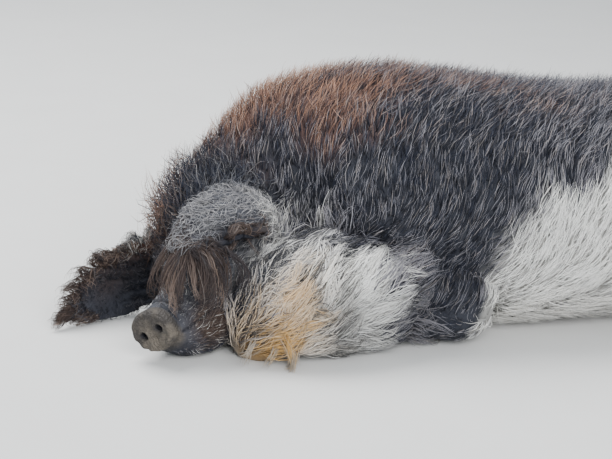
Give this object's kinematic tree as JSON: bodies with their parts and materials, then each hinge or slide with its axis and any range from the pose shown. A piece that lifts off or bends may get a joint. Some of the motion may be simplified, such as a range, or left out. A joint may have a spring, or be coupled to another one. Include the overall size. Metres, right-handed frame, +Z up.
{
  "type": "mangalica pig",
  "caption": "Life-size mangalica pig asleep on its belly, chin on the floor, head turned and tilted, woolly dark coat, pale ruff and lower flanks, drooping ears.",
  "frame": {"origin": "on the floor below the middle of the whole animal's box", "axes": "+X from head to tail, +Y to the pig's right, +Z up"},
  "size_m": [1.4546, 0.6396, 0.4412],
  "materials": {
    "dark_coat": "dense woolly hair, matt, near-black with lighter hairs",
    "cream_coat": "long coarse hair, matt, cream stained yellow",
    "slate_face": "slate-grey skin under thin hair",
    "snout_skin": "bare moist skin dusted with sand",
    "eye": "wet dark brown",
    "horn": "dark worn horn"
  },
  "bodies": {
    "root": {"rump": "dark_coat", "belly": "dark_coat", "chest": "dark_coat", "neck": "dark_coat", "head": "slate_face", "ruff": "cream_coat", "snout_disc": "snout_skin", "ear_left": "slate_face", "ear_right": "slate_face", "eye_left": "eye", "eye_right": "eye", "tail": "dark_coat", "foreleg_left": "dark_coat", "foreleg_right": "dark_coat", "hindleg_left": "dark_coat", "hindleg_right": "dark_coat", "foreclaw_left_inner": "horn", "foreclaw_left_outer": "horn", "foreclaw_right_inner": "horn", "foreclaw_right_outer": "horn", "foredewclaw_left_inner": "horn", "foredewclaw_left_outer": "horn", "foredewclaw_right_inner": "horn", "foredewclaw_right_outer": "horn", "hindclaw_left_inner": "horn", "hindclaw_left_outer": "horn", "hindclaw_right_inner": "horn", "hindclaw_right_outer": "horn", "hinddewclaw_left_inner": "horn", "hinddewclaw_left_outer": "horn", "hinddewclaw_right_inner": "horn", "hinddewclaw_right_outer": "horn"}
  },
  "joints": []
}
